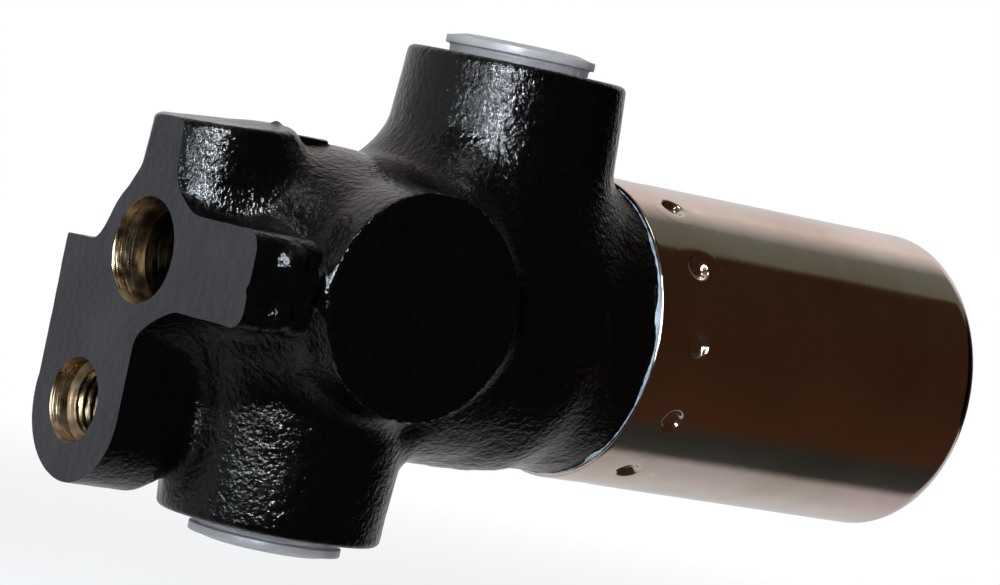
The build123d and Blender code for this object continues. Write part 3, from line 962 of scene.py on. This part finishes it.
class Nodes:
    """The shader nodes of a material or of the world."""

    def __init__(self, owner):
        owner.use_nodes = True
        self.owner = owner
        self.tree = owner.node_tree
        self.shader = self.tree.nodes.get("Principled BSDF")

    def add(self, kind, operation=None):
        """A new node."""
        node = self.tree.nodes.new("ShaderNode" + kind)
        if operation:
            node.operation = operation
        return node

    def link(self, output, socket):
        """Joins an output to an input."""
        self.tree.links.new(output, socket)

    def place(self):
        """Places on the object, in metres."""
        return self.add("TexCoord").outputs["Object"]

    def noise(self, scale, detail=3.0, roughness=0.6, stretch=None):
        """Smooth noise, whose scale is in waves per metre."""
        place = self.place()
        if stretch:
            mapping = self.add("Mapping")
            mapping.inputs["Scale"].default_value = stretch
            self.link(place, mapping.inputs["Vector"])
            place = mapping.outputs["Vector"]
        texture = self.add("TexNoise")
        texture.inputs["Scale"].default_value = scale
        texture.inputs["Detail"].default_value = detail
        texture.inputs["Roughness"].default_value = roughness
        self.link(place, texture.inputs["Vector"])
        return texture.outputs["Fac"]

    def map_range(self, value, low, high, to_low=0.0, to_high=1.0):
        """Stretches a value from one range to another."""
        node = self.add("MapRange")
        node.inputs["From Min"].default_value = low
        node.inputs["From Max"].default_value = high
        node.inputs["To Min"].default_value = to_low
        node.inputs["To Max"].default_value = to_high
        self.link(value, node.inputs["Value"])
        return node.outputs["Result"]

    def spread(self, value, low, high):
        """The usual range of a noise, stretched to another."""
        return self.map_range(value, noise_low, noise_high, low, high)

    def ramp(self, value, stops):
        """Colours along a value, from (place, colour) pairs."""
        node = self.add("ValToRGB")
        elements = node.color_ramp.elements
        while len(elements) < len(stops):
            elements.new(0.5)
        for element, (place, colour) in zip(elements, stops):
            element.position = place
            element.color = (*colour, 1)
        self.link(value, node.inputs["Fac"])
        return node.outputs["Color"]

    def tones(self, value, dark, light):
        """A colour that changes over the usual range of a noise."""
        return self.ramp(value, ((noise_low, dark), (noise_high, light)))

    def bump(self, height, depth, before=None):
        """A bump of that depth in millimetres, laid over an earlier one."""
        node = self.add("Bump")
        node.inputs["Distance"].default_value = depth * MM
        self.link(height, node.inputs["Height"])
        if before is not None:
            self.link(before, node.inputs["Normal"])
        return node.outputs["Normal"]

    def maths(self, operation, *values):
        """A calculation on values, each an output or a plain number."""
        node = self.add("Math", operation)
        for value, socket in zip(values, node.inputs):
            if isinstance(value, float):
                socket.default_value = value
            else:
                self.link(value, socket)
        return node.outputs[0]

    def mix(self, share, first, second):
        """The first shader, and the second by that share."""
        node = self.add("MixShader")
        for output, socket in zip((share, first, second), node.inputs):
            self.link(output, socket)
        return node.outputs[0]

    def seen_ray(self):
        """One where a ray comes from the camera, a gloss or a clear surface, and nought elsewhere."""
        path = self.add("LightPath").outputs
        seen = self.maths("MAXIMUM", path["Is Camera Ray"], path["Is Glossy Ray"])
        return self.maths("MAXIMUM", seen, path["Is Transmission Ray"])

    def set(self, name, value):
        """Sets a value that is the same all over the surface."""
        self.shader.inputs[name].default_value = value

    def dress(self, colour, roughness, normal):
        """Gives the shader its varying colour, roughness and normal."""
        self.link(colour, self.shader.inputs["Base Color"])
        self.link(roughness, self.shader.inputs["Roughness"])
        self.link(normal, self.shader.inputs["Normal"])
        return self.owner

    def show(self, surface):
        """Puts a surface of its own in the shader's place."""
        self.tree.nodes.remove(self.shader)
        self.link(surface, self.tree.nodes["Material Output"].inputs["Surface"])
        return self.owner


def new_nodes(name):
    """The nodes of a new material."""
    return Nodes(bpy.data.materials.new(name))


def gloss_paint():
    """Gloss black paint over a sand-cast skin."""
    nodes = new_nodes("gloss_black_paint")
    coarse = nodes.noise(980, 3.0, 0.55)
    fine = nodes.noise(2300, 2.0, 0.55)
    patches = nodes.noise(130, 2.0, 0.5)
    colour = nodes.tones(coarse, (0.0002, 0.0002, 0.0002), (0.0006, 0.0006, 0.0007))
    nodes.set("Specular IOR Level", 0.27)
    normal = nodes.bump(fine, 0.03, nodes.bump(coarse, 0.25))
    return nodes.dress(colour, nodes.spread(patches, 0.10, 0.16), normal)


def face_paint():
    """The same paint on the machined mounting face, where it dried satin."""
    nodes = new_nodes("satin_face_paint")
    patches = nodes.noise(90, 3.0, 0.55)
    peel = nodes.noise(520)
    grain = nodes.noise(2600, 2.0)
    colour = nodes.tones(patches, (0.004, 0.0042, 0.0052), (0.008, 0.0084, 0.0100))
    nodes.set("Specular IOR Level", 0.33)
    normal = nodes.bump(grain, 0.02, nodes.bump(peel, 0.28))
    return nodes.dress(colour, nodes.spread(patches, 0.36, 0.46), normal)


def bare_metal():
    """Turned bare cast iron with a thin oil film, with painted shade that darkens it down its holes."""
    nodes = new_nodes("turned_bare_iron")
    patches = nodes.noise(260)
    rings = nodes.noise(60, 2.0, 0.6, (40, 2, 2))
    stops = ((0.3, (0.10, 0.065, 0.034)), (0.5, (0.21, 0.148, 0.086)), (0.72, (0.36, 0.29, 0.20)))
    place = nodes.add("SeparateXYZ")
    nodes.link(nodes.place(), place.inputs[0])
    shade = nodes.add("VectorMath", "SCALE")
    nodes.link(nodes.ramp(patches, stops), shade.inputs[0])
    # Painted shade: the colour darkens along X from the mounting face inwards, to a fifth of itself past 7
    # mm, so all bare metal further in is painted dark
    depth = nodes.map_range(place.outputs["X"], hole_painted_shade_start * MM, hole_painted_shade_end * MM, 1.0, hole_painted_shade)
    nodes.link(depth, shade.inputs["Scale"])
    nodes.set("Metallic", 1.0)
    return nodes.dress(shade.outputs["Vector"], nodes.spread(patches, 0.22, 0.4), nodes.bump(rings, 0.14))


def plated_steel():
    """Drawn steel, zinc plated and passivated to a faint yellow."""
    nodes = new_nodes("passivated_zinc")
    patches = nodes.noise(45, 4.0)
    drawn = nodes.noise(900, 2.0, 0.5, (0.06, 1, 1))
    scratches = nodes.noise(1400, 3.0, 0.7, (1, 0.12, 0.12))
    stops = ((0.3, (0.62, 0.50, 0.42)), (0.5, (0.70, 0.63, 0.56)), (0.7, (0.80, 0.68, 0.64)))
    nodes.set("Metallic", 1.0)
    normal = nodes.bump(scratches, 0.012, nodes.bump(drawn, 0.005))
    return nodes.dress(nodes.ramp(patches, stops), nodes.spread(drawn, 0.06, 0.12), normal)


def compound():
    """Pale bluish sealing compound."""
    nodes = new_nodes("sealing_compound")
    patches = nodes.noise(300)
    colour = nodes.tones(patches, (0.02, 0.03, 0.04), (0.15, 0.20, 0.24))
    return nodes.dress(colour, nodes.spread(patches, 0.3, 0.5), nodes.bump(patches, 0.1))


def milky_plastic():
    """Milky translucent polyethylene."""
    nodes = new_nodes("milky_polyethylene")
    patches = nodes.noise(160)
    grain = nodes.noise(1800, 2.0, 0.5)
    colour = nodes.tones(patches, (0.30, 0.29, 0.32), (0.40, 0.39, 0.40))
    nodes.set("Subsurface Weight", 0.2)
    nodes.set("Subsurface Radius", (1.0, 1.0, 1.0))
    nodes.set("Subsurface Scale", 1.5 * MM)
    nodes.set("Transmission Weight", 0.7)
    return nodes.dress(colour, nodes.spread(patches, 0.3, 0.42), nodes.bump(grain, 0.01))


def metal(name, dark, light, rough_low, rough_high, scale, ring_depth):
    """A machined or drawn metal with patches and fine rings."""
    nodes = new_nodes(name)
    patches = nodes.noise(scale)
    rings = nodes.noise(50, 2.0, 0.6, (60, 2, 2))
    nodes.set("Metallic", 1.0)
    roughness = nodes.spread(patches, rough_low, rough_high)
    return nodes.dress(nodes.tones(patches, dark, light), roughness, nodes.bump(rings, ring_depth))


def matt(name, dark, light, rough_low, rough_high, grain_depth):
    """Rubber or plastic with a faint grain."""
    nodes = new_nodes(name)
    patches = nodes.noise(220)
    grain = nodes.noise(2400, 2.0)
    roughness = nodes.spread(patches, rough_low, rough_high)
    return nodes.dress(nodes.tones(patches, dark, light), roughness, nodes.bump(grain, grain_depth))


# Pieces

make_camera()

body = valve_body()
paint_body(body, gloss_paint(), face_paint(), bare_metal())
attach(body, "housing")
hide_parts("valve_body")

can = spring_can()
can.data.materials.append(plated_steel())
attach(can, "housing")
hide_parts("spring_can")

bead = sealant_bead()
bead.data.materials.append(compound())
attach(bead, "housing")
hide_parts("joint_sealant")

plug_material = milky_plastic()
top_plug = plug("top_transport_plug", outlet_x, outlet_face, False)
top_plug.data.materials.append(plug_material)
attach(top_plug, "top_plug")
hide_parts("top_port_plug")

bottom_plug = plug("bottom_transport_plug", inlet_x, inlet_face, True)
bottom_plug.data.materials.append(plug_material)
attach(bottom_plug, "bottom_plug")
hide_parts("bottom_port_plug")

inner_materials = {
    "spring_steel": metal("oiled_spring_steel", (0.16, 0.16, 0.17), (0.36, 0.36, 0.37), 0.25, 0.4, 300, 0.01),
    "plate_steel": metal("zinc_plated_sheet", (0.46, 0.46, 0.45), (0.62, 0.62, 0.61), 0.25, 0.42, 150, 0.01),
    "piston_alloy": metal("anodised_alloy", (0.60, 0.60, 0.61), (0.76, 0.76, 0.76), 0.28, 0.4, 180, 0.03),
    "brass": metal("turned_brass", (0.60, 0.44, 0.20), (0.80, 0.63, 0.33), 0.18, 0.32, 220, 0.03),
    "black_rubber": matt("nitrile_rubber", (0.012, 0.012, 0.012), (0.03, 0.03, 0.03), 0.45, 0.6, 0.02),
    "guide_plastic": matt("guide_band_plastic", (0.74, 0.72, 0.66), (0.84, 0.82, 0.76), 0.4, 0.5, 0.01),
}
for subpart in frame["record"]["subparts"]:
    material = inner_materials.get(subpart["material_slot"])
    if material:
        node = frame["nodes"][subpart["node"]]
        node.data.materials.clear()
        node.data.materials.append(material)

# The springs, wound as coils in place of the solids' springs
spring_finish = inner_materials["spring_steel"]
main_spring = coil_spring("main_coil_spring", *main_coil)
main_spring.data.materials.append(spring_finish)
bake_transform(main_spring)
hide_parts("main_spring")

poppet_spring = coil_spring("poppet_coil_spring", *poppet_coil)
poppet_spring.data.materials.append(spring_finish)
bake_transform(poppet_spring)
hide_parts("poppet_spring")


# Stage and light

def set_glow(node, colour, strength):
    """Sets the colour and strength of a glowing node."""
    node.inputs["Color"].default_value = (*colour, 1)
    node.inputs["Strength"].default_value = strength
    return node.outputs[0]


def make_world():
    """A white surrounding, and a softer light from it on matt surfaces."""
    world = bpy.data.worlds.new("studio")
    bpy.context.scene.world = world
    nodes = Nodes(world)
    soft = set_glow(nodes.tree.nodes["Background"], fill_colour, fill_strength)
    white = set_glow(nodes.add("Background"), (1, 1, 1), 1.0)
    surface = nodes.mix(nodes.seen_ray(), soft, white)
    nodes.link(surface, nodes.tree.nodes["World Output"].inputs["Surface"])


def floor_material():
    """Pale paper near the object, and white where a seen ray meets it far out."""
    nodes = new_nodes("floor_paper")
    length = nodes.add("VectorMath", "LENGTH")
    nodes.link(nodes.place(), length.inputs[0])
    far = nodes.map_range(length.outputs["Value"], floor_fade_start * MM, floor_fade_end * MM)
    paper = nodes.add("BsdfDiffuse")
    paper.inputs["Color"].default_value = (floor_grey, floor_grey, floor_grey, 1)
    white = set_glow(nodes.add("Emission"), (1, 1, 1), 1.0)
    share = nodes.maths("MULTIPLY", nodes.seen_ray(), far)
    return nodes.show(nodes.mix(share, paper.outputs[0], white))


def make_floor():
    """A wide pale floor, which keeps the object's shadow."""
    corners = ((-1, -1), (1, -1), (1, 1), (-1, 1))
    points = [(x * floor_reach, y * floor_reach, floor_depth) for x, y in corners]
    floor = mesh_object("floor", points, [(0, 1, 2, 3)])
    floor.data.materials.append(floor_material())


def make_lamp(name, turn, height, distance, width, tall, power, colour):
    """A soft rectangular lamp that looks at the object."""
    data = bpy.data.lights.new(name, "AREA")
    data.shape = "RECTANGLE"
    data.size = width * MM
    data.size_y = tall * MM
    data.energy = power
    data.color = colour
    lamp = bpy.data.objects.new(name, data)
    towards = direction(turn, height)
    lamp.location = Vector(lamp_centre) * MM + towards * distance * MM
    lamp.rotation_mode = "QUATERNION"
    lamp.rotation_quaternion = towards.to_track_quat("Z", "Y")
    lamp.visible_camera = False
    bpy.context.collection.objects.link(lamp)


def dome_material():
    """Light that changes round the X axis, dark far behind the can, with a pale wall to the left."""
    nodes = new_nodes("studio_walls")
    place = nodes.add("SeparateXYZ")
    nodes.link(nodes.place(), place.inputs[0])
    x, y, z = place.outputs
    turn = nodes.maths("ARCTAN2", z, nodes.maths("MULTIPLY", y, -1.0))
    share = nodes.map_range(turn, -pi, pi)
    stops = [(turned / 360 + 0.5, colour) for turned, colour in dome_colours]
    walls = nodes.add("Emission")
    nodes.link(nodes.ramp(share, stops), walls.inputs["Color"])
    strength = nodes.map_range(x, dome_dark_start * MM, dome_dark_end * MM, dome_strength, dome_dark_strength)
    nodes.link(strength, walls.inputs["Strength"])
    side = set_glow(nodes.add("Emission"), side_wall_colour, side_wall_strength)
    left = nodes.map_range(x, side_wall_start * MM, side_wall_end * MM)
    height = nodes.maths("ABSOLUTE", z)
    level = nodes.map_range(height, side_wall_height * MM, side_wall_top * MM, 1.0, 0.0)
    return nodes.show(nodes.mix(nodes.maths("MULTIPLY", left, level), walls.outputs[0], side))


def make_dome():
    """A closed shell over the floor: the walls and ceiling that the object's gloss shows."""
    columns = 96
    heights = np.radians(np.linspace(-89.9, 89.9, 48))
    turn = round_turn(columns)
    rings = [ring(dome_radius * sin(height), dome_radius * cos(height), turn) for height in heights]
    points = np.roll(np.concatenate(rings), -1, axis=1)
    points[:, 2] = np.maximum(points[:, 2], floor_depth + dome_floor_gap)
    dome = mesh_object("studio_dome", points, grid_faces(len(heights), columns).tolist())
    dome.data.materials.append(dome_material())
    dome.visible_camera = False
    dome.visible_diffuse = False
    dome.visible_shadow = False
    dome.visible_transmission = False


make_world()
make_floor()
make_dome()
make_lamp("left_window", -70, 4, 700, 34, 260, 2.0, (0.84, 0.94, 1.0))
make_lamp("front_lamp", -45, 20, 640, 24, 460, 11.0, (0.84, 0.94, 1.0))
make_lamp("warm_glow", -54, -18, 640, 60, 50, 0.5, (1.0, 0.42, 0.12))
make_lamp("top_softbox", -60, 75, 900, 700, 700, 6.0, (1.0, 0.98, 0.96))

bpy.context.scene.view_settings.view_transform = "Standard"
